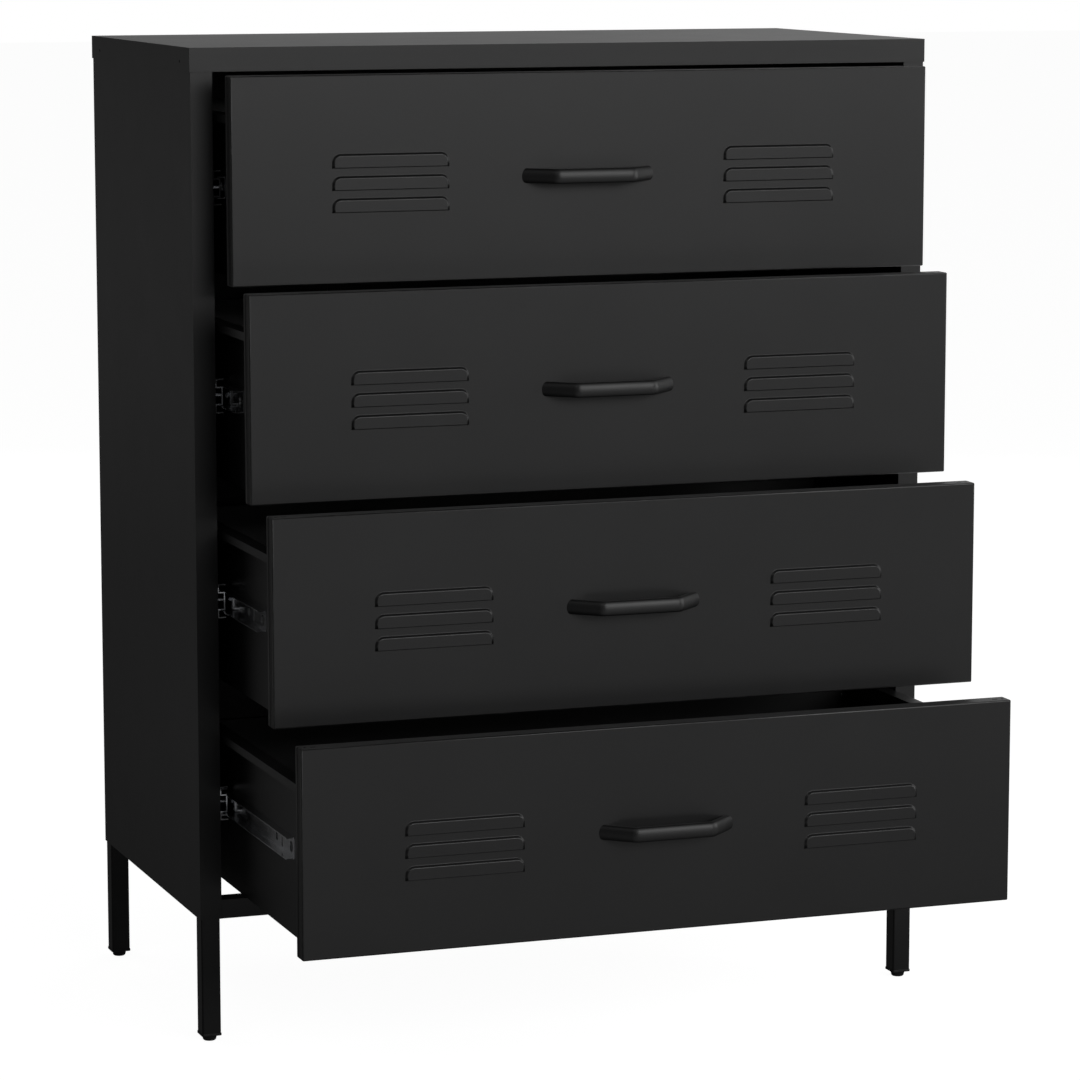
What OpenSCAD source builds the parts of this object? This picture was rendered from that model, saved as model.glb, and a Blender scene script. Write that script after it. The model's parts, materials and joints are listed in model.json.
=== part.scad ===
// Tall steel chest of four drawers on square-tube legs.
// Millimetres, +Z up, the front faces -Y. The origin is on the floor, at the middle of the
// chest's footprint as it stands with its drawers drawn out.

/* [Cabinet] */
// Width of the top panel
cab_w = 800; // [640:10:1000]
// Depth of the top panel
cab_d = 400; // [380:5:480]
// Height from the floor to the top surface
cab_h = 1015; // [930:5:1150]
// Thickness of the folded sheet steel
sheet = 1; // [0.8:0.1:1.2]
// Height of the skirt round the top panel
skirt_h = 24; // [18:1:32]
// Depth of the return under the front skirt
skirt_return = 10; // [6:1:14]
// Height of the body's lower edge above the floor
body_z = 129; // [100:1:160]
// Width of the stile that each side panel turns across the front
stile_w = 22.5; // [21.5:0.5:26]
// Width of the side panels' rear and bottom flanges
flange_w = 12; // [8:1:16]
// Height of the rails that join the legs at the body's lower edge
bottom_rail_h = 20; // [14:1:26]

/* [Legs] */
// Side of the square leg tube
tube_w = 20; // [19:0.5:22]
// Wall thickness of the leg tube
tube_wall = 1.2; // [1:0.1:1.6]
// Outer corner radius of the leg tube
tube_r = 2; // [1.5:0.5:3]
// Height of a whole foot plug below the tube
foot_h = 8.5; // [7:0.5:14]
// Height of the square collar at the top of the foot plug
collar_h = 2.5; // [2:0.5:4]
// Diameter of the foot where it meets the collar
foot_top_d = 16; // [14:0.5:19]
// Diameter of the foot's flat underside
foot_base_d = 11.5; // [8:0.5:13]

/* [Drawers] */
// Gap between the fronts, and between a front and the cabinet
front_gap = 2.3; // [1.5:0.1:4]
// Gap between the end of a front and the stile
front_side_gap = 1.8; // [1.5:0.1:4]
// Depth of a folded drawer front
front_t = 20; // [16:1:24]
// Width of the lips along the back of a drawer front, above and below
front_lip = 15; // [10:1:20]
// Width of the lips at the back of a drawer front's ends
front_end_lip = 28; // [26:1:34]
// How far the drawers pull out
travel = 290; // [260:5:300]
// How far drawer 1, the top one, stands open
open_1 = 58; // [0:1:260]
// How far drawer 2 stands open
open_2 = 117; // [0:1:260]
// How far drawer 3 stands open
open_3 = 190; // [0:1:260]
// How far drawer 4, the bottom one, stands open
open_4 = 282; // [0:1:290]
// Length of a drawer box behind the closed front plane
box_y1 = 370; // [340:1:370]
// Height of the box's lower edge above the lower edge of its front
box_rise = 5; // [3:0.5:20]
// How far the box's rim is below the upper edge of its front
rim_drop = 39; // [30:1:60]
// How far the rim is turned outwards
rim_w = 14.2; // [10:0.2:15]
// How far the rim is turned down
rim_lip = 8.3; // [6:0.1:12]

/* [Louvres] */
// Width of a louvre
louvre_w = 123; // [80:1:130]
// Height of a louvre
louvre_h = 13.8; // [11:0.1:15]
// Spacing of the louvres in a group
louvre_pitch = 22.1; // [18:0.1:26]
// How far a louvre stands out of the front
louvre_proud = 2.2; // [1.5:0.1:3]
// Radius of a louvre's two upper corners
louvre_r = 9; // [5:0.5:10]
// Distance of each group's middle from the middle of the front
louvre_x = 209.5; // [150:0.5:230]
// How far the groups sit below the middle of the front
louvre_drop = 3; // [-10:1:10]

/* [Handle] */
// Length of the handle where it meets the front
handle_l = 142; // [120:1:160]
// Length of the handle's straight grip
grip_l = 84; // [60:1:100]
// Height of the handle
handle_h = 14.8; // [12:0.1:18]
// How far the handle stands out of the front
handle_proj = 27; // [22:1:35]
// Thickness of the handle's bar
handle_t = 8; // [6:0.5:10]
// Distance between the two handle screws
handle_holes = 125; // [118:1:128]

/* [Slides] */
// How far the uprights' pads stand in from the legs
pad_depth = 7; // [5:0.5:8]
// Space between a pad and the drawer box
slide_space = 12.7; // [12.5:0.1:14]
// Height of a slide's middle above the lower edge of its front
slide_rise = 93.3; // [60:0.1:110]
// Gap behind a closed front, before its rails begin
rail_setback = 2; // [1:0.5:4]
// Height of the fixed rail
rail_h = 35; // [35:0.5:40]
// Height of the fixed rail's raised middle web
rail_web_h = 18.6; // [14:0.2:18.8]
// Depth of the fixed rail's flanges
rail_flange = 8.4; // [8:0.1:9]
// How far the fixed rail's middle web is raised
rail_raise = 7.6; // [6:0.1:8]
// Thickness of the fixed rail
rail_t = 1.2; // [1:0.1:1.2]
// Height of the runner on the drawer
runner_h = 22; // [22:0.1:22.4]
// How far the runner's flanges reach from the drawer's side
runner_flange = 8.7; // [7:0.1:9]
// Thickness of the runner
runner_t = 1; // [0.8:0.1:1]
// How far the runner begins behind the back of the front
runner_setback = 58; // [50:1:60]
// Length of the runner
runner_l = 290; // [280:1:290]
// Length of a ball cage
cage_l = 50; // [40:1:50]
// Radius of a ball
ball_r = 2.5; // [2.2:0.05:2.5]
// Number of balls in a cage strip
balls = 5; // [2:1:5]

/* [Hidden] */
$fn = 48;
eps = 0.01;
drawer_numbers = [1, 2, 3, 4];
sides = [-1, 1];
side_names = ["left", "right"];
openings = [open_1, open_2, open_3, open_4];

// The footprint reaches from the front of the furthest handle to the back of the top panel.
reach = max(openings) + handle_proj;
front_y = (reach - cab_d) / 2;

// Cabinet, outside to inside: top skirt, side panel, leg.
panel_x = cab_w / 2 - sheet;
leg_x1 = panel_x - sheet;
leg_x0 = leg_x1 - tube_w;
leg_y0 = 2 * sheet;
leg_y1 = cab_d - 2 * sheet - tube_w;
leg_z = foot_h;
top_under = cab_h - sheet;
stile_x = panel_x - stile_w;

// The fronts share the height between the bottom rail and the skirt.
opening_z0 = body_z + bottom_rail_h;
opening_z1 = cab_h - skirt_h;
front_pitch = (opening_z1 - opening_z0 - front_gap) / len(drawer_numbers);
front_h = front_pitch - front_gap;
front_x = stile_x - front_side_gap;
function front_z(i) = opening_z1 - i * front_pitch;

// Drawer box, in the drawer's own place: y 0 at the front's face, z 0 at its lower edge.
pad_x = leg_x0 - pad_depth;
box_x = pad_x - slide_space;
rim_z = front_h - rim_drop;
floor_z = box_rise + sheet;
tab_w = 14;
rivet_r = 1.6;
rivet_head_r = 3.2;
rivet_head_t = 0.9;
hole_play = 0.05;

// Slides.
rail_y0 = front_t + rail_setback;
rail_y1 = cab_d - rail_y0;
runner_y0 = front_t + runner_setback;
runner_nose = 1.5;
runner_nose_h = runner_h - 3;
runner_rivet_y = [runner_y0 + 90, runner_y0 + runner_l - 20];
cage_y0 = rail_y0 + 2 + travel / 2;
cage_t = 1;
cage_v = (rail_h / 2 - rail_t + runner_h / 2) / 2;
cage_u0 = 1.6;
cage_w = 7.8;
cage_end = 5;
ball_u = 5;
ball_play = 0.1;

// Uprights: a strip on each leg, and a hollow pad behind each end of a rail.
strip_y0 = leg_y0 + 2;
pad_y0 = rail_y0 - sheet;
pad_w = 24;
pad_h = 40;

// Screws.
screw_r = 2;
screw_head_r = 3.5;
screw_head_t = 1.6;
rail_screw_l = 13;
rail_screw_y = [pad_y0 + pad_w / 2, cab_d - pad_y0 - pad_w / 2];
upright_screw_y = [strip_y0 + 8, cab_d - strip_y0 - 8];
upright_screw_z = [for (k = [0:3]) front_z(4) + 20 + k * front_pitch];
skirt_screw_r = 1.5;
skirt_screw_drop = 14.7;
skirt_screw_y = [38, cab_d - 35];
back_screw_z = [for (k = [0:4]) body_z + 40 + k * (top_under - body_z - 80) / 4];
back_screw_x = leg_x0 + 4;

// Details of the drawer front and its joints to the box.
seam_y = 11;
seam_w = 0.6;
handle_z = front_h / 2;
// Depth of the screw holes in the handle's feet.
handle_bite = 5;
// The handle screws are thinner than the others.
handle_screw_r = 1.75;
handle_hole_r = 1.95;
front_rivet_x = box_x - 7;
front_rivet_z = [floor_z + 20, rim_z - 20];

black = "#2a2a2b";
plastic_black = "#161616";
zinc = "#c9ccd0";

cabinet_nodes = [
    "top_panel", "left_side_panel", "right_side_panel", "back_panel",
    "bottom_front_rail", "bottom_rear_rail",
    "left_front_leg", "right_front_leg", "left_rear_leg", "right_rear_leg",
    "left_front_upright", "right_front_upright", "left_rear_upright", "right_rear_upright",
    "foot_plugs", "cabinet_screws"
];
drawer_parts = [
    "front", "left_side", "right_side", "floor", "back", "handle",
    "left_runner", "right_runner", "fixed_rails", "ball_cages", "fasteners"
];

function part_name(i, p) = str("drawer_", i, "_", p);

// ---- helpers ----

// A box from its lowest corner to its highest.
module span(a, b) {
    translate(a) cube(b - a);
}

// The right-hand piece as it is, the left-hand one mirrored.
module on_side(s) {
    mirror([s < 0 ? 1 : 0, 0, 0]) children();
}

// Stands a profile drawn in X and Z upright and runs it back from y0 for a length.
module run_back(y0, length) {
    translate([0, y0 + length, 0]) rotate([90, 0, 0]) linear_extrude(length) children();
}

module rounded_square(w, r) {
    translate([r, 0]) square([w - 2 * r, w]);
    translate([0, r]) square([w, w - 2 * r]);
    for (x = [r, w - r]) for (y = [r, w - r]) translate([x, y]) circle(r);
}

// A round hole or shank along Y, from y0 to y1.
module along_y(x, z, r, y0, y1) {
    translate([x, y1, z]) rotate([90, 0, 0]) cylinder(r = r, h = y1 - y0);
}

// A round hole or shank along X, from x0 to x1.
module along_x(y, z, r, x0, x1) {
    translate([x0, y, z]) rotate([0, 90, 0]) cylinder(r = r, h = x1 - x0);
}

// Cabinet pieces are drawn with y 0 at the top panel's front edge.
module in_cabinet() {
    translate([0, front_y, 0]) children();
}

module in_drawer(i) {
    translate([0, front_y - openings[i - 1], front_z(i)]) children();
}

// Fixed rails stay with the cabinet, at the height of their drawer.
module at_slide(i) {
    translate([0, front_y, front_z(i) + slide_rise]) children();
}

// ---- cabinet ----

module top_panel() {
    color(black) difference() {
        union() {
            difference() {
                span([-cab_w / 2, 0, cab_h - skirt_h], [cab_w / 2, cab_d, cab_h]);
                span([-panel_x, sheet, cab_h - skirt_h - 1], [panel_x, cab_d - sheet, top_under]);
            }
            span([-stile_x, sheet - eps, opening_z1], [stile_x, sheet + skirt_return, opening_z1 + sheet]);
        }
        for (y = skirt_screw_y)
            along_x(y, cab_h - skirt_screw_drop, skirt_screw_r + hole_play, -cab_w / 2 - 1, cab_w / 2 + 1);
    }
}

// The right side panel: the outer sheet, the front stile, and the rear and bottom flanges.
module side_panel() {
    color(black) difference() {
        union() {
            span([leg_x1, sheet, body_z], [panel_x, cab_d - sheet, top_under]);
            span([stile_x, sheet, body_z], [panel_x, 2 * sheet, top_under]);
            span([panel_x - flange_w, cab_d - 2 * sheet, body_z], [panel_x, cab_d - sheet, top_under]);
            span(
                [panel_x - flange_w, leg_y0 + tube_w + 1, body_z],
                [panel_x, leg_y1 - 1, body_z + sheet]
            );
        }
        for (y = skirt_screw_y)
            along_x(y, cab_h - skirt_screw_drop, skirt_screw_r + hole_play, leg_x1 - 1, panel_x + 1);
    }
}

module back_panel() {
    x = panel_x - flange_w - 0.5;
    color(black) difference() {
        union() {
            span([-x, cab_d - 2 * sheet, body_z], [x, cab_d - sheet, top_under]);
            // Two pressed stiffening ribs stand into the cabinet.
            for (s = sides)
                span(
                    [s * x / 3 - 9, cab_d - 4 * sheet, body_z + 60],
                    [s * x / 3 + 9, cab_d - 2 * sheet + eps, top_under - 60]
                );
        }
        for (s = sides)
            span(
                [s * x / 3 - 8, cab_d - 3 * sheet, body_z + 61],
                [s * x / 3 + 8, cab_d, top_under - 61]
            );
        for (s = sides) for (z = back_screw_z)
            along_y(s * back_screw_x, z, screw_r + hole_play, cab_d - 3 * sheet, cab_d);
    }
}

// A folded rail between two legs, facing -Y: face, top flange, bottom lip and end tabs.
module bottom_rail(face_x) {
    depth = tube_w;
    tab_h = bottom_rail_h - sheet;
    color(black) {
        span([-face_x, 0, 0], [face_x, sheet, bottom_rail_h]);
        span([-face_x, 0, tab_h], [face_x, sheet + depth, bottom_rail_h]);
        span([-leg_x0, sheet, tab_h], [leg_x0, sheet + depth, bottom_rail_h]);
        span([-face_x, sheet - eps, 0], [face_x, sheet + depth / 2, sheet]);
        for (s = sides) on_side(s)
            span([leg_x0 - sheet, sheet, 2 * sheet], [leg_x0, sheet + depth, tab_h + eps]);
    }
}

module bottom_front_rail() {
    translate([0, sheet, body_z]) bottom_rail(stile_x - 0.1);
}

module bottom_rear_rail() {
    translate([0, cab_d - 2 * sheet, body_z]) mirror([0, 1, 0]) bottom_rail(leg_x0);
}

// A leg runs up inside the corner as a post; this is a right-hand one.
module leg(y0, back_screws) {
    screw_y = y0 == leg_y0 ? upright_screw_y[0] : upright_screw_y[1];
    color(black) difference() {
        translate([leg_x0, y0, leg_z]) linear_extrude(top_under - leg_z) difference() {
            rounded_square(tube_w, tube_r);
            translate([tube_wall, tube_wall]) rounded_square(tube_w - 2 * tube_wall, tube_r - tube_wall);
        }
        for (z = upright_screw_z)
            along_x(screw_y, z, screw_r + hole_play, leg_x0 - 1, leg_x0 + tube_w / 2);
        if (back_screws) for (z = back_screw_z)
            along_y(back_screw_x, z, screw_r + hole_play, y0 + tube_w / 2, y0 + tube_w + 1);
    }
}

// The right front upright: a strip on the leg, with a hollow pad for each rail.
module upright() {
    color(black) difference() {
        union() {
            span([leg_x0 - sheet, strip_y0, opening_z0 + 4], [leg_x0, pad_y0 + pad_w, top_under - 4]);
            for (i = drawer_numbers) translate([0, 0, front_z(i) + slide_rise])
                span([pad_x, pad_y0, -pad_h / 2], [leg_x0, pad_y0 + pad_w, pad_h / 2]);
        }
        for (i = drawer_numbers) translate([0, 0, front_z(i) + slide_rise]) {
            span(
                [pad_x + sheet, pad_y0 + sheet, sheet - pad_h / 2],
                [leg_x0 + 1, pad_y0 + pad_w - sheet, pad_h / 2 - sheet]
            );
            along_x(rail_screw_y[0], 0, screw_r + hole_play, pad_x - 1, pad_x + 2 * sheet);
        }
        for (z = upright_screw_z)
            along_x(upright_screw_y[0], z, screw_r + hole_play, leg_x0 - 2 * sheet, leg_x0 + 1);
    }
}

// The rear legs and uprights face the front ones across the cabinet.
module at_rear() {
    translate([0, cab_d, 0]) mirror([0, 1, 0]) children();
}

module foot_plug() {
    plug_w = tube_w - 2 * tube_wall - 0.4;
    plug_h = 14;
    edge_r = 1;
    collar_w = tube_w + 1;
    color(plastic_black) {
        rotate_extrude() polygon([
            [0, 0],
            [foot_base_d / 2, 0],
            [foot_base_d / 2 + edge_r, edge_r],
            [foot_top_d / 2, foot_h - collar_h],
            [foot_top_d / 2, foot_h - eps],
            [0, foot_h - eps]
        ]);
        translate([-collar_w / 2, -collar_w / 2, foot_h - collar_h])
            linear_extrude(collar_h) rounded_square(collar_w, tube_r);
        translate([-plug_w / 2, -plug_w / 2, foot_h - eps])
            linear_extrude(plug_h) rounded_square(plug_w, tube_r / 2);
    }
}

module foot_plugs() {
    for (s = sides) for (y = [leg_y0, leg_y1])
        translate([s * (leg_x0 + tube_w / 2), y + tube_w / 2, 0]) foot_plug();
}

// A pan-head screw along Z, its head on a face at z 0, with a cross-shaped recess.
module pan_screw(head_t, length, r = screw_r) {
    recess_w = 0.8;
    recess_l = 2.6 * r;
    difference() {
        union() {
            cylinder(r = screw_head_r, h = head_t);
            translate([0, 0, -length]) cylinder(r = r, h = length + eps);
        }
        for (a = [0, 90]) rotate([0, 0, a])
            translate([-recess_l / 2, -recess_w / 2, head_t - 0.5]) cube([recess_l, recess_w, 1]);
    }
}

module cabinet_screws() {
    color(zinc) for (s = sides) on_side(s) {
        for (i = drawer_numbers) for (y = rail_screw_y)
            translate([pad_x - rail_raise, y, front_z(i) + slide_rise])
                rotate([0, -90, 0]) pan_screw(screw_head_t, rail_screw_l);
        for (z = upright_screw_z) for (y = upright_screw_y)
            translate([leg_x0 - sheet, y, z]) rotate([0, -90, 0]) pan_screw(screw_head_t, 8);
    }
    color(black) for (s = sides) on_side(s) {
        for (z = back_screw_z)
            translate([back_screw_x, cab_d - sheet, z]) rotate([-90, 0, 0]) pan_screw(sheet, 8);
        for (y = skirt_screw_y) difference() {
            along_x(y, cab_h - skirt_screw_drop, skirt_screw_r, leg_x1 - 6, cab_w / 2);
            along_x(y, cab_h - skirt_screw_drop, skirt_screw_r / 2, cab_w / 2 - 0.8, cab_w / 2 + 1);
        }
    }
}

// ---- slides ----

// The rail's profile, drawn from the pad's face, with x running towards the drawer.
module rail_profile() {
    half = rail_h / 2;
    web_half = rail_web_h / 2;
    for (m = [0, 1]) mirror([0, m]) {
        translate([0, half - rail_t]) square([rail_flange, rail_t]);
        translate([0, web_half - rail_t]) square([rail_t, half - web_half + rail_t]);
        translate([0, web_half - rail_t]) square([rail_raise, rail_t]);
    }
    translate([rail_raise - rail_t, -web_half]) square([rail_t, rail_web_h]);
}

module fixed_rails() {
    color(zinc) for (s = sides) on_side(s) difference() {
        translate([pad_x, 0, 0]) mirror([1, 0, 0]) run_back(rail_y0, rail_y1 - rail_y0) rail_profile();
        for (y = rail_screw_y)
            along_x(y, 0, screw_r + hole_play, pad_x - rail_raise - 1, pad_x - 1);
    }
}

// The right runner: its web lies on the drawer's side, and its flanges reach into the rail.
module runner() {
    x1 = box_x + runner_t;
    slot_y = runner_y0 + 42;
    color(zinc) difference() {
        union() {
            translate([box_x, 0, 0]) rotate([90, 0, 90]) linear_extrude(runner_t)
                polygon([
                    [runner_y0 + runner_nose, -runner_h / 2],
                    [runner_y0 + runner_l, -runner_h / 2],
                    [runner_y0 + runner_l, runner_h / 2],
                    [runner_y0 + runner_nose, runner_h / 2],
                    [runner_y0, runner_nose_h / 2],
                    [runner_y0, -runner_nose_h / 2]
                ]);
            for (m = [0, 1]) mirror([0, 0, m])
                span(
                    [box_x, runner_y0 + runner_nose, runner_h / 2 - runner_t],
                    [box_x + runner_flange, runner_y0 + runner_l, runner_h / 2]
                );
        }
        along_x(runner_y0 + 10, 0, 5.5, box_x - 1, x1 + 1);
        along_x(runner_y0 + 60, 0, 4, box_x - 1, x1 + 1);
        span([box_x - 1, slot_y - 2.5, -6.5], [x1 + 1, slot_y + 2.5, 6.5]);
        for (y = runner_rivet_y)
            along_x(y, 0, rivet_r + hole_play, box_x - 1, x1 + 1);
    }
}

// The right-hand cage of a drawer: two strips, each with a row of balls.
module ball_cage(open) {
    y0 = cage_y0 - open / 2;
    ball_pitch = (cage_l - 2 * cage_end) / (balls - 1);
    ball_y = [for (k = [0 : balls - 1]) y0 + cage_end + k * ball_pitch];
    color(zinc) for (m = [0, 1]) mirror([0, 0, m]) {
        difference() {
            span(
                [pad_x - cage_u0 - cage_w, y0, cage_v - cage_t / 2],
                [pad_x - cage_u0, y0 + cage_l, cage_v + cage_t / 2]
            );
            for (y = ball_y)
                translate([pad_x - ball_u, y, cage_v - cage_t]) cylinder(r = ball_r + ball_play, h = 2 * cage_t);
        }
        for (y = ball_y) translate([pad_x - ball_u, y, cage_v]) sphere(ball_r);
    }
}

// ---- drawers ----

// A louvre's outline, with two round upper corners.
module louvre_outline(w, h, r) {
    translate([-w / 2, 0]) square([w, h - r]);
    translate([-w / 2 + r, 0]) square([w - 2 * r, h]);
    for (s = sides) translate([s * (w / 2 - r), h - r]) circle(r);
}

// A louvre's outline cut off flat below, and run along Y from y0 to y1.
module louvre_body(w, h, r, y0, y1) {
    intersection() {
        run_back(y0, y1 - y0) louvre_outline(w, h, r);
        span([-w, y0 - 1, 0], [w, y1 + 1, h + 1]);
    }
}

module at_louvres() {
    group_z = front_h / 2 - louvre_drop;
    for (s = sides) for (k = [-1, 0, 1])
        translate([s * louvre_x, 0, group_z + k * louvre_pitch - louvre_h / 2]) children();
}

module drawer_front() {
    inner = louvre_proud - sheet;
    color(black) difference() {
        union() {
            span([-front_x, 0, 0], [front_x, front_t, front_h]);
            at_louvres() louvre_body(louvre_w, louvre_h, louvre_r, -louvre_proud, sheet / 2);
        }
        // Inside of the folded pan, and the window between its lips.
        span([-front_x + sheet, sheet, sheet], [front_x - sheet, front_t - sheet, front_h - sheet]);
        span(
            [-front_x + front_end_lip, front_t / 2, front_lip],
            [front_x - front_end_lip, front_t + 1, front_h - front_lip]
        );
        // Inside of each louvre, which is open below.
        at_louvres() louvre_body(
            louvre_w - 2 * sheet, louvre_h - sheet, louvre_r - sheet, -inner, 2 * sheet
        );
        at_louvres() span(
            [-louvre_w / 2 + sheet, -inner, -1],
            [louvre_w / 2 - sheet, 0, sheet]
        );
        // The fold line round the ends, and the small holes in the upper edge.
        for (s = sides) on_side(s)
            span([front_x - sheet / 2, seam_y, -1], [front_x + 1, seam_y + seam_w, front_h + 1]);
        for (s = sides) on_side(s) {
            translate([front_x - 6, 8.5, front_h - 2 * sheet]) cylinder(r = 1.5, h = 3 * sheet);
            span([front_x - 17, 7.3, front_h - 2 * sheet], [front_x - 11.5, 9.7, front_h + 1]);
            along_y(handle_holes / 2, handle_z, handle_hole_r, -1, sheet + 1);
            for (z = front_rivet_z)
                along_y(front_rivet_x, z, rivet_r + hole_play, front_t - 2 * sheet, front_t + 1);
        }
    }
}

// The right side of a drawer box, with its turned rim and its flanges.
module drawer_side() {
    x0 = box_x - sheet;
    color(black) difference() {
        union() {
            span([x0, front_t, box_rise], [box_x, box_y1, rim_z]);
            span([x0, front_t, rim_z - sheet], [box_x + rim_w, box_y1, rim_z]);
            span([box_x + rim_w - sheet, front_t, rim_z - rim_lip], [box_x + rim_w, box_y1, rim_z]);
            span([x0 - tab_w, front_t, box_rise], [box_x, box_y1, floor_z]);
            span([x0 - tab_w, front_t, box_rise], [box_x, front_t + sheet, rim_z]);
            span([x0 - tab_w, box_y1 - sheet, box_rise], [box_x, box_y1, rim_z]);
        }
        for (z = front_rivet_z)
            along_y(front_rivet_x, z, rivet_r + hole_play, front_t - 1, front_t + 2 * sheet);
        for (z = front_rivet_z)
            along_y(front_rivet_x, z, rivet_r + hole_play, box_y1 - 2 * sheet, box_y1 + 1);
        for (y = runner_rivet_y)
            along_x(y, slide_rise, rivet_r + hole_play, x0 - 1, box_x + 1);
    }
}

module drawer_floor() {
    x = box_x - sheet;
    rib_h = 1.5;
    color(black) difference() {
        union() {
            span([-x, front_t + sheet, floor_z], [x, box_y1 - 2 * sheet, floor_z + sheet]);
            for (k = [-1, 0, 1])
                span([k * x / 2 - 12, front_t + 50, floor_z + sheet - eps],
                     [k * x / 2 + 12, box_y1 - 50, floor_z + sheet + rib_h]);
        }
        for (k = [-1, 0, 1])
            span([k * x / 2 - 11, front_t + 51, floor_z - 1],
                 [k * x / 2 + 11, box_y1 - 51, floor_z + rib_h]);
    }
}

module drawer_back() {
    x = box_x - sheet;
    y = box_y1 - 2 * sheet;
    hem = 8;
    color(black) difference() {
        union() {
            span([-x, y, floor_z + sheet], [x, y + sheet, rim_z]);
            span([-x, y - hem, rim_z - sheet], [x, y + eps, rim_z]);
        }
        for (s = sides) for (z = front_rivet_z)
            along_y(s * front_rivet_x, z, rivet_r + hole_play, y - 1, y + 2 * sheet);
    }
}

// One bend of the handle, as points on an arc about c from angle a0 to a1.
function arc(c, r, a0, a1, n = 8) =
    [for (k = [0 : n]) c + r * [cos(a0 + (a1 - a0) * k / n), sin(a0 + (a1 - a0) * k / n)]];

// Plan of the handle's right half: outer edge out and back, then the inner edge.
function handle_half() =
    let (
        run = (handle_l - grip_l) / 2,
        leg_a = atan2(handle_proj, run),
        r_out = 12,
        r_in = r_out - handle_t,
        turn_x = grip_l / 2 - r_out * tan(leg_a / 2),
        c = [turn_x, -handle_proj + r_out],
        foot_in = handle_l / 2 - handle_t / sin(leg_a)
    )
    concat(
        arc(c, r_out, -90, -90 + leg_a),
        [[handle_l / 2, 0], [foot_in, 0]],
        arc(c, r_in, -90 + leg_a, -90)
    );

module handle() {
    half = handle_half();
    count = len(half);
    left = [for (k = [0 : count - 1]) [-half[count - 1 - k][0], half[count - 1 - k][1]]];
    color(plastic_black) difference() {
        translate([0, 0, handle_z - handle_h / 2])
            linear_extrude(handle_h) polygon(concat(half, left));
        for (s = sides)
            along_y(s * handle_holes / 2, handle_z, handle_hole_r, -handle_bite, 1);
    }
}

// A rivet along +Z: a head on the face at z 0 and a shank through the sheets below it.
module rivet(length) {
    cylinder(r = rivet_head_r, h = rivet_head_t);
    translate([0, 0, -length]) cylinder(r = rivet_r, h = length + eps);
}

module drawer_fasteners() {
    color(zinc) for (s = sides) on_side(s) {
        translate([handle_holes / 2, sheet, handle_z]) rotate([-90, 0, 0])
            pan_screw(screw_head_t, sheet + handle_bite - 1, handle_screw_r);
        for (z = front_rivet_z) {
            translate([front_rivet_x, front_t + sheet, z]) rotate([-90, 0, 0]) rivet(2 * sheet);
            translate([front_rivet_x, box_y1, z]) rotate([-90, 0, 0]) rivet(2 * sheet);
        }
        for (y = runner_rivet_y)
            translate([box_x - sheet, y, slide_rise]) rotate([0, -90, 0]) rivet(sheet + runner_t);
    }
}

// ---- assembly ----

in_cabinet() top_panel();
in_cabinet() on_side(-1) side_panel();  // left_side_panel
in_cabinet() on_side(1) side_panel();  // right_side_panel
in_cabinet() back_panel();
in_cabinet() bottom_front_rail();
in_cabinet() bottom_rear_rail();
in_cabinet() on_side(-1) leg(leg_y0, false);  // left_front_leg
in_cabinet() on_side(1) leg(leg_y0, false);  // right_front_leg
in_cabinet() on_side(-1) leg(leg_y1, true);  // left_rear_leg
in_cabinet() on_side(1) leg(leg_y1, true);  // right_rear_leg
in_cabinet() on_side(-1) upright();  // left_front_upright
in_cabinet() on_side(1) upright();  // right_front_upright
in_cabinet() at_rear() on_side(-1) upright();  // left_rear_upright
in_cabinet() at_rear() on_side(1) upright();  // right_rear_upright
in_cabinet() foot_plugs();
in_cabinet() cabinet_screws();

for (i = drawer_numbers) {
    in_drawer(i) drawer_front();
    in_drawer(i) drawer_floor();
    in_drawer(i) drawer_back();
    in_drawer(i) handle();
    in_drawer(i) drawer_fasteners();
    for (k = [0, 1]) {
        in_drawer(i) on_side(sides[k]) drawer_side();
        in_drawer(i) translate([0, 0, slide_rise]) on_side(sides[k]) runner();
    }
    at_slide(i) fixed_rails();
    at_slide(i) for (s = sides) on_side(s) ball_cage(openings[i - 1]);
}
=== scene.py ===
"""Looks of a tall steel chest of four drawers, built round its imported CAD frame."""
import json
import math

import bmesh
import bpy
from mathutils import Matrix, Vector
from mathutils.geometry import delaunay_2d_cdt


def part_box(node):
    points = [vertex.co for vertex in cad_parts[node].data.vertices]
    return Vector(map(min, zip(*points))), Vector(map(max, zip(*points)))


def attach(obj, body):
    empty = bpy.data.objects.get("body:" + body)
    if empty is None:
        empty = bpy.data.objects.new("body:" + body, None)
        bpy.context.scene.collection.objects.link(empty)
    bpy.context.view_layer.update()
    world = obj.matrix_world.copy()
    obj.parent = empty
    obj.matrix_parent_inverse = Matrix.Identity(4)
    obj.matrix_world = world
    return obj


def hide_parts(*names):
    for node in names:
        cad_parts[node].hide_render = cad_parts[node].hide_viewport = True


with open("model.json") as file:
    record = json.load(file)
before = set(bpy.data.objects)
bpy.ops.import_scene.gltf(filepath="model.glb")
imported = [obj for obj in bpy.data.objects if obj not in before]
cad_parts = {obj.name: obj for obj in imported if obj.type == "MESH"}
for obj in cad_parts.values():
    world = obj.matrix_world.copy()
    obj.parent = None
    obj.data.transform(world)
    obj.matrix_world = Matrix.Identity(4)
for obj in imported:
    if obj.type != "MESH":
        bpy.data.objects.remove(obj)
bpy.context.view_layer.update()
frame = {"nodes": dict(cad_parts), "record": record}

MM = 0.001
DRAWERS = (1, 2, 3, 4)
SIDES = (-1, 1)

# The cabinet's front plane and its top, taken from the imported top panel.
CABINET_LOW, CABINET_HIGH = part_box("top_panel")
FRONT_Y = CABINET_LOW.y
TOP_Z = CABINET_HIGH.z

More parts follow.
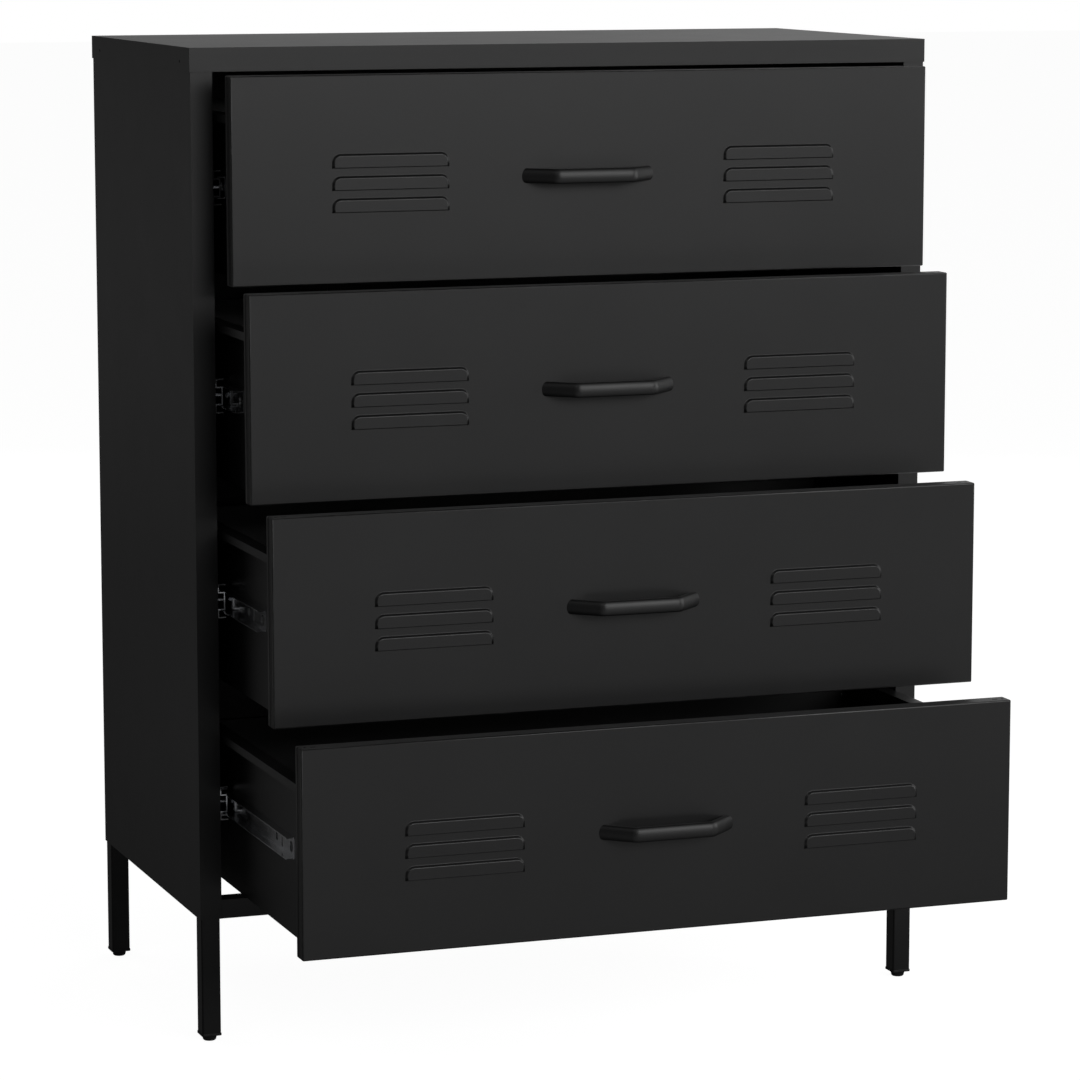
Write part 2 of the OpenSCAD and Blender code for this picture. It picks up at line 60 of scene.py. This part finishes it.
# A piece's material indexes: its plain faces, and its folds and edges.
PLAIN, EDGE = 0, 1

# Points that are nearer than this become one.
SAME_POINT = 0.01 * MM


# ---- materials ----

class Shader:
    """A Principled shader and the nodes that feed it. Lengths are in metres."""

    def __init__(self, name, metallic=0.0, specular=0.5):
        self.material = bpy.data.materials.new(name)
        self.material.use_nodes = True
        self.tree = self.material.node_tree
        self.principled = self.tree.nodes["Principled BSDF"]
        self.principled.inputs["Metallic"].default_value = metallic
        self.principled.inputs["Specular IOR Level"].default_value = specular
        self.place = self.add("ShaderNodeTexCoord").outputs["Object"]

    def add(self, kind, **settings):
        node = self.tree.nodes.new(kind)
        for name, value in settings.items():
            setattr(node, name, value)
        return node

    def link(self, start, end):
        self.tree.links.new(start, end)

    def stretched(self, scale):
        """The place on the piece, with each axis scaled."""
        mapping = self.add("ShaderNodeMapping")
        mapping.inputs["Scale"].default_value = scale
        self.link(self.place, mapping.inputs["Vector"])
        return mapping.outputs["Vector"]

    def noise(self, scale, detail=2.0, roughness=0.5, stretch=None):
        """A cloudy pattern, with about scale clouds to the metre."""
        node = self.add("ShaderNodeTexNoise")
        node.inputs["Scale"].default_value = scale
        node.inputs["Detail"].default_value = detail
        node.inputs["Roughness"].default_value = roughness
        self.link(self.stretched(stretch) if stretch else self.place, node.inputs["Vector"])
        return node.outputs["Fac"]

    def spread(self, factor, low, high, start=0.3, end=0.7):
        """Maps a pattern from start to end onto low to high."""
        node = self.add("ShaderNodeMapRange")
        node.inputs["From Min"].default_value = start
        node.inputs["From Max"].default_value = end
        node.inputs["To Min"].default_value = low
        node.inputs["To Max"].default_value = high
        self.link(factor, node.inputs["Value"])
        return node.outputs["Result"]

    def colours(self, factor, dark, light, start=0.3, end=0.7):
        """Maps a pattern from start to end onto dark to light."""
        ramp = self.add("ShaderNodeValToRGB")
        ramp.color_ramp.elements[0].position = start
        ramp.color_ramp.elements[0].color = (*dark, 1)
        ramp.color_ramp.elements[1].position = end
        ramp.color_ramp.elements[1].color = (*light, 1)
        self.link(factor, ramp.inputs["Fac"])
        return ramp.outputs["Color"]

    def mixed(self, factor, first, second):
        mix = self.add("ShaderNodeMix", data_type="RGBA")
        self.link(factor, mix.inputs["Factor"])
        self.link(first, mix.inputs["A"])
        self.link(second, mix.inputs["B"])
        return mix.outputs["Result"]

    def bump(self, height, distance, strength=1.0, below=None):
        """A relief of the given depth, on top of the one below where there is one."""
        node = self.add("ShaderNodeBump")
        node.inputs["Distance"].default_value = distance
        node.inputs["Strength"].default_value = strength
        self.link(height, node.inputs["Height"])
        if below:
            self.link(below, node.inputs["Normal"])
        return node.outputs["Normal"]

    def finish(self, colour, roughness, normal):
        self.link(colour, self.principled.inputs["Base Color"])
        self.link(roughness, self.principled.inputs["Roughness"])
        self.link(normal, self.principled.inputs["Normal"])
        return self.material


def powder_coat(name, dark, light, rough, worn=None):
    """Black powder coat: fine orange peel and faint clouds of tone.

    Where a worn colour is given, it shows through in specks and patches.
    """
    s = Shader(name)
    clouds = s.noise(scale=7, detail=3)
    grain = s.noise(scale=1100)
    colour = s.colours(clouds, dark, light)
    if worn:
        patches = s.spread(s.noise(scale=60, detail=4, roughness=0.7), 0, 1, start=0.52)
        colour = s.mixed(patches, colour, s.colours(grain, dark, worn))
    gloss_clouds = s.noise(scale=22, detail=4, roughness=0.6)
    roughness = s.spread(gloss_clouds, rough - 0.01, rough + 0.01)
    peel = s.bump(grain, distance=0.06 * MM, strength=0.5)
    flow = s.noise(scale=240, detail=1)
    normal = s.bump(flow, distance=0.03 * MM, strength=0.25, below=peel)
    return s.finish(colour, roughness, normal)


def zinc_patterns(s):
    """Long rolling marks, and small passivation clouds."""
    marks = s.noise(scale=40, detail=3, roughness=0.6, stretch=(30, 0.6, 30))
    clouds = s.noise(scale=45, detail=4, roughness=0.6)
    return marks, clouds


def zinc_plate(name, dark, light, rough):
    """Bright zinc on rolled steel."""
    s = Shader(name, metallic=1.0)
    marks, clouds = zinc_patterns(s)
    roughness = s.spread(marks, rough - 0.05, rough + 0.08)
    normal = s.bump(marks, distance=0.02 * MM, strength=0.2)
    return s.finish(s.colours(clouds, dark, light), roughness, normal)


def screw_metal(name, dark, light, rough, painted_above):
    """Zinc-plated screws, of which those above a height are painted flat black."""
    s = Shader(name, metallic=1.0)
    marks, clouds = zinc_patterns(s)
    place = s.add("ShaderNodeSeparateXYZ")
    s.link(s.place, place.inputs["Vector"])
    bare = s.spread(place.outputs["Z"], 1, 0, start=painted_above, end=painted_above + 1 * MM)
    paint = s.colours(s.noise(scale=400), (0.004, 0.004, 0.004), (0.007, 0.007, 0.007))
    colour = s.mixed(bare, paint, s.colours(clouds, dark, light))
    specular = s.spread(bare, 0.05, 0.5, start=0, end=1)
    s.link(bare, s.principled.inputs["Metallic"])
    s.link(specular, s.principled.inputs["Specular IOR Level"])
    roughness = s.spread(bare, 0.6, rough, start=0, end=1)
    normal = s.bump(marks, distance=0.02 * MM, strength=0.2)
    return s.finish(colour, roughness, normal)


def moulded_plastic(name, dark, light, rough):
    """Black moulded plastic with a fine spark-eroded grain and rubbed patches."""
    s = Shader(name, specular=0.4)
    colour = s.colours(s.noise(scale=90, detail=3), dark, light)
    roughness = s.spread(s.noise(scale=120, detail=3), rough - 0.06, rough + 0.08)
    grain = s.noise(scale=1600, detail=1)
    return s.finish(colour, roughness, s.bump(grain, distance=0.04 * MM, strength=0.4))


COAT_TONES = ((0.004, 0.004, 0.0042), (0.006, 0.006, 0.0062))
EDGE_TONES = ((0.005, 0.005, 0.0052), (0.007, 0.007, 0.0072))

COAT = powder_coat("powder_coat", *COAT_TONES, rough=0.38)
COAT_EDGE = powder_coat("powder_coat_edge", *EDGE_TONES, rough=0.34, worn=(0.05, 0.05, 0.05))
HANDLE_COAT = powder_coat("handle_coat", *COAT_TONES, rough=0.42)
ZINC = zinc_plate("zinc_plate", (0.62, 0.63, 0.65), (0.80, 0.81, 0.83), rough=0.16)
ZINC_EDGE = zinc_plate("zinc_edge", (0.70, 0.71, 0.73), (0.88, 0.89, 0.91), rough=0.2)
SCREWS = screw_metal(
    "screws", (0.55, 0.56, 0.58), (0.72, 0.73, 0.75), rough=0.24, painted_above=TOP_Z - 30 * MM
)
PLASTIC = moulded_plastic("foot_plastic", (0.009, 0.009, 0.009), (0.016, 0.016, 0.016), rough=0.5)

# Each finish in the record, as the materials of plain faces and of edges.
SLOT_MATERIALS = {
    "powder_coat": (COAT, COAT_EDGE),
    "handle_black": (HANDLE_COAT, HANDLE_COAT),
    "zinc_plate": (ZINC, ZINC_EDGE),
    "foot_plastic": (PLASTIC, PLASTIC),
}


def dress(piece, *materials):
    """Adds materials to a piece, in the order of its material indexes."""
    for material in materials:
        piece.data.materials.append(material)


# ---- CAD nodes that are kept ----

class EdgeSizes:
    """How a CAD node's edges are rounded."""
    # On panels and runners, the two edges of the 1 mm sheet nearly meet in one round.
    sheet_width = 0.48 * MM
    width = 0.35 * MM
    segments = 2
    # Faces at less than the first angle become one, and an edge of more than the second is rounded.
    flat = math.radians(0.5)
    sharp = math.radians(35)


def weld_points(piece):
    """Joins the points that a CAD node's faces each have of their own."""
    piece.modifiers.new("weld", "WELD").merge_threshold = SAME_POINT


def soften_edges(piece, width):
    """Rounds a CAD node's edges with modifiers, and gives the rounded faces the edge material."""
    flat = piece.modifiers.new("flat", "DECIMATE")
    flat.decimate_type = "DISSOLVE"
    flat.angle_limit = EdgeSizes.flat
    bevel = piece.modifiers.new("bevel", "BEVEL")
    bevel.width = width
    bevel.segments = EdgeSizes.segments
    bevel.limit_method = "ANGLE"
    bevel.angle_limit = EdgeSizes.sharp
    bevel.material = EDGE
    bevel.use_clamp_overlap = True
    piece.modifiers.new("normals", "WEIGHTED_NORMAL").keep_sharp = True


def dress_cad_nodes():
    """Gives every CAD node its materials, and softens all but the balls and their cages."""
    slots = {part["node"]: part["material_slot"] for part in frame["record"]["subparts"]}
    for name, piece in frame["nodes"].items():
        piece.data.materials.clear()
        if name == "cabinet_screws":
            dress(piece, SCREWS, SCREWS)
        else:
            dress(piece, *SLOT_MATERIALS[slots[name]])
        weld_points(piece)
        if name.endswith(("_panel", "_runner")):
            soften_edges(piece, EdgeSizes.sheet_width)
        elif not name.endswith("_ball_cages"):
            soften_edges(piece, EdgeSizes.width)


dress_cad_nodes()


# ---- how new pieces are made ----

def placed(name, data):
    """A new object in the scene, made of some data."""
    thing = bpy.data.objects.new(name, data)
    bpy.context.scene.collection.objects.link(thing)
    return thing


def piece_of(name, mesh):
    """A new piece in the scene, made of a bmesh, which is used up."""
    data = bpy.data.meshes.new(name)
    mesh.to_mesh(data)
    mesh.free()
    return placed(name, data)


def arc_steps(count):
    """Sine and cosine of equal steps through a right angle."""
    return [(math.sin(a), math.cos(a)) for a in (math.pi / 2 * k / count for k in range(count + 1))]


def circle_points(x, z, radius, count=16):
    angles = [2 * math.pi * k / count for k in range(count)]
    return [(x + radius * math.cos(a), z + radius * math.sin(a)) for a in angles]


def inside(spot, loop):
    """Whether a flat point lies inside a closed outline."""
    crossings = 0
    for (x0, z0), (x1, z1) in zip(loop, loop[1:] + loop[:1]):
        if (z0 > spot.y) != (z1 > spot.y) and spot.x < x0 + (spot.y - z0) * (x1 - x0) / (z1 - z0):
            crossings += 1
    return crossings % 2 == 1


class Sheet:
    """One surface of folded sheet, put together from strips and flat faces that share points."""
    # Points whose places agree to this many decimals of a metre are shared.
    decimals = 7
    # Points of a flat outline that are nearer than this, in millimetres, are one.
    outline_gap = 0.0001
    # Where the surface turns tightly, the thickness is held to this share of the room there.
    thickness_clamp = 0.9

    def __init__(self):
        self.mesh = bmesh.new()
        self.points = {}

    def point(self, place):
        key = tuple(round(value, self.decimals) for value in place)
        if key not in self.points:
            self.points[key] = self.mesh.verts.new(place)
        return self.points[key]

    def face(self, places, material=PLAIN, smooth=False):
        points = []
        for place in places:
            point = self.point(place)
            if point not in points:
                points.append(point)
        if len(points) > 2 and not self.mesh.faces.get(points):
            face = self.mesh.faces.new(points)
            face.material_index = material
            face.smooth = smooth

    def loft(self, lines, material=PLAIN, smooth=False):
        """Joins each line of points to the next one, with a quad for each step along them."""
        for first, second in zip(lines, lines[1:]):
            for k in range(len(first) - 1):
                self.face((first[k], first[k + 1], second[k + 1], second[k]), material, smooth)

    def fill(self, outline, holes, at):
        """A flat face inside one closed outline, with holes left open. at gives a flat point's place."""
        flat, edges = [], []
        for loop in (outline, *holes):
            start = len(flat)
            flat += loop
            edges += [(start + k, start + (k + 1) % len(loop)) for k in range(len(loop))]
        spots = [Vector(spot) for spot in flat]
        _, _, faces, sources, _, _ = delaunay_2d_cdt(spots, edges, [], 0, self.outline_gap)
        for face in faces:
            corners = [flat[sources[k][0]] for k in face]
            middle = sum((Vector(corner) for corner in corners), Vector((0, 0))) / len(corners)
            if not any(inside(middle, hole) for hole in holes):
                self.face([at(*corner) for corner in corners])

    def finished(self, name, outward, thickness):
        """The piece, facing outward, with the sheet's thickness added on the inside."""
        bmesh.ops.recalc_face_normals(self.mesh, faces=self.mesh.faces[:])
        largest = max(self.mesh.faces, key=lambda face: face.calc_area())
        if largest.normal.dot(Vector(outward)) < 0:
            bmesh.ops.reverse_faces(self.mesh, faces=self.mesh.faces[:])
        piece = piece_of(name, self.mesh)
        solid = piece.modifiers.new("solid", "SOLIDIFY")
        solid.thickness = thickness
        solid.offset = -1
        solid.use_even_offset = True
        solid.thickness_clamp = self.thickness_clamp
        return piece


# ---- louvres ----

class LouvreSizes:
    """A pressed louvre in millimetres: a sloping wall round three sides, open below."""
    width = 123.0
    height = 13.8
    radius = 9.0
    corner_steps = 8
    pitch = 22.1
    rows = (-1, 0, 1)
    across = 209.5
    drop = 3.0
    slit = 0.9
    # How far in from the outline, and how far out of the front, the wall goes.
    wall = (
        (0, 0), (0.3, 0.1), (0.65, 0.4), (1.0, 0.8),
        (1.7, 1.55), (2.05, 1.9), (2.4, 2.12), (2.8, 2.2),
    )
    proud = wall[-1][1]
    # The wall's first steps, up its slope, are plain coat. The rest, over its crest, are worn.
    slope_steps = 4


def louvre_line(x, z, inset, low):
    """A louvre's outline less an inset, from its lower left corner over the top to its lower right."""
    size = LouvreSizes
    half = size.width / 2 - inset
    top = size.height - inset
    radius = size.radius - inset
    turn = arc_steps(size.corner_steps)
    line = [(-half, low)]
    line += [(-half + radius * (1 - c), top - radius * (1 - s)) for s, c in turn]
    line += [(half - radius * (1 - s), top - radius * (1 - c)) for s, c in turn]
    line += [(half, low)]
    return [(x + a, z + b) for a, b in line]


def add_louvre(sheet, at, x, z):
    """Adds one louvre, and gives the flat outline of the hole that it stands over."""
    size = LouvreSizes
    lines = []
    for inset, proud in size.wall:
        low = -size.slit * (1 - proud / size.proud)
        lines.append([at(a, -proud, b) for a, b in louvre_line(x, z, inset, low)])
    sheet.loft(lines[:size.slope_steps + 1], PLAIN, smooth=True)
    sheet.loft(lines[size.slope_steps:], EDGE, smooth=True)
    sheet.face(lines[-1])
    return louvre_line(x, z, 0, -size.slit)


# ---- drawer fronts ----

class FrontSizes:
    """The folded front's sizes in millimetres. Those that the CAD has too are the same there."""
    half = 374.7
    height = 207.625
    depth = 20.0
    sheet = 1.0
    fold = 1.3
    fold_steps = 4
    corner_steps = 3
    lip = 15.0
    end_lip = 28.0
    # The open joint between an end and the upper or lower strip.
    corner_gap = 0.35
    # The seam that runs up each end, and how much wider its mouth and narrower its floor are.
    seam_y = 11.0
    seam_w = 0.6
    seam_depth = 0.45
    seam_mouth = 0.1
    seam_floor = 0.05
    # The handle's screw holes, from the middle of the face.
    handle_holes = 62.5
    hole_r = 1.95
    # The upper strip's round holes and slots, from the nearer end and from the face.
    strip_hole = (6.0, 8.5)
    strip_hole_r = 1.5
    slot_x = (11.5, 17.0)
    slot_y = (7.3, 9.7)


def add_face(sheet, at, flat, inner):
    """The front's face, with its louvres and the handle's screw holes."""
    size = FrontSizes
    middle = size.height / 2
    holes = []
    for side in SIDES:
        for row in LouvreSizes.rows:
            z = middle - LouvreSizes.drop + row * LouvreSizes.pitch - LouvreSizes.height / 2
            holes.append(add_louvre(sheet, at, side * LouvreSizes.across, z))
        holes.append(circle_points(side * size.handle_holes, middle, size.hole_r))
    outline = [(x, size.fold) for x in (-flat, -inner, inner, flat)]
    outline += [(x, size.height - size.fold) for x in (flat, inner, -inner, -flat)]
    sheet.fill(outline, holes, lambda x, z: at(x, 0, z))


def face_fold():
    """How far back, and how far in from the front's outline, the fold round the face goes."""
    size = FrontSizes
    turn = reversed(arc_steps(size.fold_steps))
    return [(size.fold * (1 - s), size.fold * (1 - c)) for s, c in turn]


def rear_fold():
    """How far back, and how far in from the front's outline, the fold at the rear goes."""
    size = FrontSizes
    turn = arc_steps(size.fold_steps)
    return [(size.depth - size.fold * (1 - s), size.fold * (1 - c)) for s, c in turn]


def seam_groove():
    """How far back, and how far in from the front's outline, the seam in an end goes."""
    size = FrontSizes
    start, end = size.seam_y, size.seam_y + size.seam_w
    return [
        (start - size.seam_mouth, 0), (start + size.seam_floor, size.seam_depth),
        (end - size.seam_floor, size.seam_depth), (end + size.seam_mouth, 0),
    ]


def end_line(inset):
    """An end's upright line less an inset, from its lower corner to its upper one."""
    size = FrontSizes
    radius = size.fold - inset
    x, z0, z1 = size.half - inset, inset, size.height - inset
    turn = arc_steps(size.corner_steps)
    line = [(x - radius * (1 - s), z0 + radius * (1 - c)) for s, c in turn]
    line += [(x - radius * (1 - c), z1 - radius * (1 - s)) for s, c in turn]
    return line


def add_end(sheet, at, side, flat):
    """One end of the front, from the fold round the face over the seam to the lip at the rear."""
    size = FrontSizes
    profile = face_fold() + seam_groove() + rear_fold()
    lines = [[at(side * x, y, z) for x, z in end_line(inset)] for y, inset in profile]
    seam_start = len(face_fold())
    seam_end = seam_start + len(seam_groove())
    sheet.loft(lines[:seam_start], EDGE, smooth=True)
    sheet.loft(lines[seam_start - 1:seam_start + 1], PLAIN, smooth=True)
    sheet.loft(lines[seam_start:seam_end], PLAIN)
    sheet.loft(lines[seam_end - 1:seam_end + 1], PLAIN, smooth=True)
    sheet.loft(lines[seam_end:], EDGE, smooth=True)
    lip_x = size.half - size.end_lip
    low, high = size.fold, size.height - size.fold
    lip = ((flat, low), (flat, high), (lip_x, high), (lip_x, low))
    sheet.face([at(side * x, size.depth, z) for x, z in lip])


def strip_holes():
    """The outlines of a round hole and a slot near each end of the upper strip."""
    size = FrontSizes
    from_end, from_face = size.strip_hole
    (near, far), (y0, y1) = size.slot_x, size.slot_y
    slot = ((far, y0), (near, y0), (near, y1), (far, y1))
    holes = []
    for side in SIDES:
        holes.append(circle_points(side * (size.half - from_end), from_face, size.strip_hole_r))
        holes.append([(side * (size.half - x), y) for x, y in slot])
    return holes


def add_strip(sheet, at, inner, edge_z, way, holes):
    """The lower strip, with its folds and lip, where way is 1, or the upper strip, where it is -1."""
    size = FrontSizes
    lip_x = size.half - size.end_lip - size.corner_gap
    front_line = (-inner, inner)
    rear_line = (-inner, -lip_x, lip_x, inner)

    def add_fold(line, fold):
        rows = [[at(x, y, edge_z + way * rise) for x in line] for y, rise in fold]
        sheet.loft(rows, EDGE, smooth=True)

    add_fold(front_line, face_fold())
    outline = [(x, size.fold) for x in front_line]
    outline += [(x, size.depth - size.fold) for x in reversed(rear_line)]
    sheet.fill(outline, holes, lambda x, y: at(x, y, edge_z))
    add_fold(rear_line, rear_fold())
    near, far = edge_z + way * size.fold, edge_z + way * size.lip
    lip = ((-lip_x, near), (lip_x, near), (lip_x, far), (-lip_x, far))
    sheet.face([at(x, size.depth, z) for x, z in lip])


def drawer_front(name, corner):
    """The folded pan of a drawer front. corner is the middle of its lower edge, on its face."""
    size = FrontSizes
    sheet = Sheet()
    flat = size.half - size.fold
    inner = flat - size.corner_gap

    def at(x, y, z):
        return corner + MM * Vector((x, y, z))

    add_face(sheet, at, flat, inner)
    for side in SIDES:
        add_end(sheet, at, side, flat)
    add_strip(sheet, at, inner, edge_z=0, way=1, holes=[])
    add_strip(sheet, at, inner, edge_z=size.height, way=-1, holes=strip_holes())
    return sheet.finished(name, outward=(0, -1, 0), thickness=size.sheet * MM)


# ---- handles ----

class HandleSizes:
    """The bar handle's sizes in millimetres. Those that the CAD has too are the same there."""
    length = 142.0
    grip = 84.0
    height = 14.8
    proud = 27.0
    thick = 8.0
    outer_r = 12.0
    # How far in and how high each front corner of the bar's section is rounded.
    front_upper = (3.6, 8.6)
    front_lower = (3.0, 6.2)
    rear_r = 1.5
    upper_steps = 10
    lower_steps = 8
    rear_steps = 3
    # The steps along each sloping leg, and round each bend.
    leg_steps = 4
    bend_steps = 12
    # Faces that meet at more than this angle keep a sharp edge between them.
    sharp = math.radians(45)


def handle_section():
    """The bar's rounded section: how far in from the outer edge, and how high."""
    size = HandleSizes
    top, low = size.height / 2, -size.height / 2
    upper_in, upper_high = size.front_upper
    lower_in, lower_high = size.front_lower
    far, rear = size.thick, size.rear_r
    upper, lower = arc_steps(size.upper_steps), arc_steps(size.lower_steps)
    behind = arc_steps(size.rear_steps)
    section = [(upper_in * (1 - s), top - upper_high * (1 - c)) for s, c in upper]
    section += [(lower_in * (1 - c), low + lower_high * (1 - s)) for s, c in lower]
    section += [(far - rear * (1 - s), low + rear * (1 - c)) for s, c in behind]
    section += [(far - rear * (1 - c), top - rear * (1 - s)) for s, c in behind]
    return section


def handle_stations():
    """Pairs of outer and inner points along the right half of the handle's plan, from its foot."""
    size = HandleSizes
    run = (size.length - size.grip) / 2
    lean = math.atan2(size.proud, run)
    inner_r = size.outer_r - size.thick
    turn_x = size.grip / 2 - size.outer_r * math.tan(lean / 2)
    turn = Vector((turn_x, size.outer_r - size.proud))
    bends = []
    for k in range(size.bend_steps + 1):
        angle = -math.pi / 2 + lean * (1 - k / size.bend_steps)
        way = Vector((math.cos(angle), math.sin(angle)))
        bends.append((turn + size.outer_r * way, turn + inner_r * way))
    foot_out = Vector((size.length / 2, 0))
    foot_in = Vector((size.length / 2 - size.thick / math.sin(lean), 0))
    bend_out, bend_in = bends[0]
    shares = [k / size.leg_steps for k in range(size.leg_steps)]
    leg = [(foot_out.lerp(bend_out, share), foot_in.lerp(bend_in, share)) for share in shares]
    return leg + bends


def bar_handle(name, middle):
    """A cast bar handle: its section carried along the plan, from one foot to the other."""
    size = HandleSizes
    right = handle_stations()
    left = [tuple(Vector((-p.x, p.y)) for p in pair) for pair in reversed(right)]
    section = handle_section()
    mesh = bmesh.new()
    rings = []
    for outer, inner in right + left:
        ring = []
        for inward, z in section:
            plan = outer.lerp(inner, inward / size.thick)
            ring.append(mesh.verts.new(middle + MM * Vector((plan.x, plan.y, z))))
        rings.append(ring)
    for first, second in zip(rings, rings[1:]):
        for k in range(len(section)):
            after = (k + 1) % len(section)
            mesh.faces.new((first[k], first[after], second[after], second[k])).smooth = True
    for ring in (rings[0], rings[-1]):
        mesh.faces.new(ring)
    bmesh.ops.remove_doubles(mesh, verts=mesh.verts[:], dist=SAME_POINT)
    bmesh.ops.recalc_face_normals(mesh, faces=mesh.faces[:])
    piece = piece_of(name, mesh)
    piece.data.set_sharp_from_angle(angle=size.sharp)
    piece.modifiers.new("normals", "WEIGHTED_NORMAL").keep_sharp = True
    return piece


def make_drawer_pieces():
    """Puts a folded front and a bar handle on each drawer, in place of the CAD's plainer ones."""
    for i in DRAWERS:
        low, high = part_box(f"drawer_{i}_front")
        corner = Vector((0, low.y + LouvreSizes.proud * MM, low.z))
        front = drawer_front(f"drawer_{i}_front_pan", corner)
        dress(front, COAT, COAT_EDGE)
        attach(front, f"drawer_{i}")
        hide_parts(f"drawer_{i}_front")
        handle = bar_handle(f"drawer_{i}_bar_handle", corner + Vector((0, 0, (high.z - low.z) / 2)))
        dress(handle, HANDLE_COAT)
        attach(handle, f"drawer_{i}")
        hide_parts(f"drawer_{i}_handle")


make_drawer_pieces()


# ---- stage, lights and camera ----

def area_light(name, place, aim, width, height, radiance):
    """A soft box of the given size and brightness, which stands at place and faces aim."""
    data = bpy.data.lights.new(name, "AREA")
    data.shape = "RECTANGLE"
    data.size = width
    data.size_y = height
    data.energy = math.pi * width * height * radiance
    light = placed(name, data)
    light.location = place
    light.rotation_mode = "QUATERNION"
    light.rotation_quaternion = (Vector(aim) - Vector(place)).to_track_quat("-Z", "Y")
    light.visible_camera = False


def make_screen_lights():
    """A wide, bright screen far in front, with a dimmer foot, which the fronts mirror."""
    x, y = 2.7, -7.0
    area_light("screen", (x, y, 3.25), (x, 0, 3.25), width=6.0, height=2.5, radiance=4.8)
    area_light("screen_foot", (x, y, 1.4), (x, 0, 1.4), width=6.0, height=1.2, radiance=0.9)


def make_fill_lights():
    """Weaker lights high up, on the right, behind, and in three corners of the room."""
    for name, place, aim, width, height, radiance in (
        ("high", (1.4, -4.2, 4.0), (0, 0, 0.7), 4.0, 1.8, 0.7),
        ("right", (2.5, -0.85, 1.1), (0.2, -0.2, 0.7), 1.6, 1.5, 2.4),
        ("rear_right", (1.6, 3.9, 1.7), (0, 0.05, 0.9), 3.4, 2.6, 0.37),
        ("rear_left", (-2.6, 3.4, 0.55), (-0.4, 0.05, 0.4), 3.0, 1.0, 0.085),
        ("corner_rear_left", (-2.5, 2.5, 3.0), (0, 0, 1.0), 2.4, 1.5, 0.8),
        ("corner_rear_right", (2.2, 2.5, 3.0), (0, 0, 1.0), 2.4, 1.5, 0.8),
        ("corner_front_left", (-2.5, -2.5, 3.0), (0, 0, 1.0), 2.4, 1.5, 0.8),
    ):
        area_light(name, place, aim, width, height, radiance)


def make_floor_lights():
    """Lights that lie on the floor and face up, in place of the white floor's glow on the steel."""
    above_floor = 0.01
    for name, x, y, width, length, radiance in (
        ("floor_near", 0.5, -0.95, 3.0, 0.9, 0.22),
        ("floor_front", 1.0, -2.2, 4.0, 1.6, 0.5),
        ("floor_right", 1.8, 0.9, 2.4, 2.6, 0.7),
        ("floor_rear", 2.2, 3.0, 3.2, 1.6, 0.7),
        ("floor_left", -1.9, 1.0, 1.6, 1.0, 0.35),
        ("floor_front_left", -2.4, -1.9, 2.4, 2.0, 0.2),
    ):
        area_light(name, (x, y, above_floor), (x, y, 1.0), width, length, radiance)


def make_floor():
    """A white floor that the camera sees, but that neither lights the steel nor shows in it."""
    half = 30
    corners = [(x, y, 0) for x, y in ((-half, -half), (half, -half), (half, half), (-half, half))]
    mesh = bpy.data.meshes.new("floor")
    mesh.from_pydata(corners, [], [(0, 1, 2, 3)])
    s = Shader("floor_white", specular=0.0)
    s.principled.inputs["Emission Color"].default_value = (1, 1, 1, 1)
    s.principled.inputs["Emission Strength"].default_value = 0.96
    s.principled.inputs["Base Color"].default_value = (0.25, 0.25, 0.25, 1)
    mesh.materials.append(s.material)
    floor = placed("floor", mesh)
    floor.visible_diffuse = False
    floor.visible_glossy = False


def make_world():
    """A room that is white to the camera, and nearly dark to the steel."""
    world = bpy.data.worlds.new("studio")
    bpy.context.scene.world = world
    world.use_nodes = True
    nodes, links = world.node_tree.nodes, world.node_tree.links
    background = nodes["Background"]
    seen = nodes.new("ShaderNodeLightPath").outputs["Is Camera Ray"]
    strength = nodes.new("ShaderNodeMapRange")
    strength.inputs["To Min"].default_value = 0.05
    strength.inputs["To Max"].default_value = 1.0
    links.new(seen, strength.inputs["Value"])
    links.new(strength.outputs["Result"], background.inputs["Strength"])
    background.inputs["Color"].default_value = (1, 1, 1, 1)


def make_camera():
    """The photographer stands to the left of the chest and looks slightly down."""
    to_left, from_front, eye_height = 1.505, 4.086, 1.161
    tilt_down, turn_right = 8.61, 19.84
    data = bpy.data.cameras.new("camera")
    data.sensor_width = 36
    data.lens = 141.2
    camera = placed("camera", data)
    camera.location = (-to_left, FRONT_Y - from_front, eye_height)
    camera.rotation_euler = (math.radians(90 - tilt_down), 0, math.radians(-turn_right))
    bpy.context.scene.camera = camera


make_floor()
make_world()
make_camera()
make_screen_lights()
make_fill_lights()
make_floor_lights()
bpy.context.scene.view_settings.view_transform = "Standard"
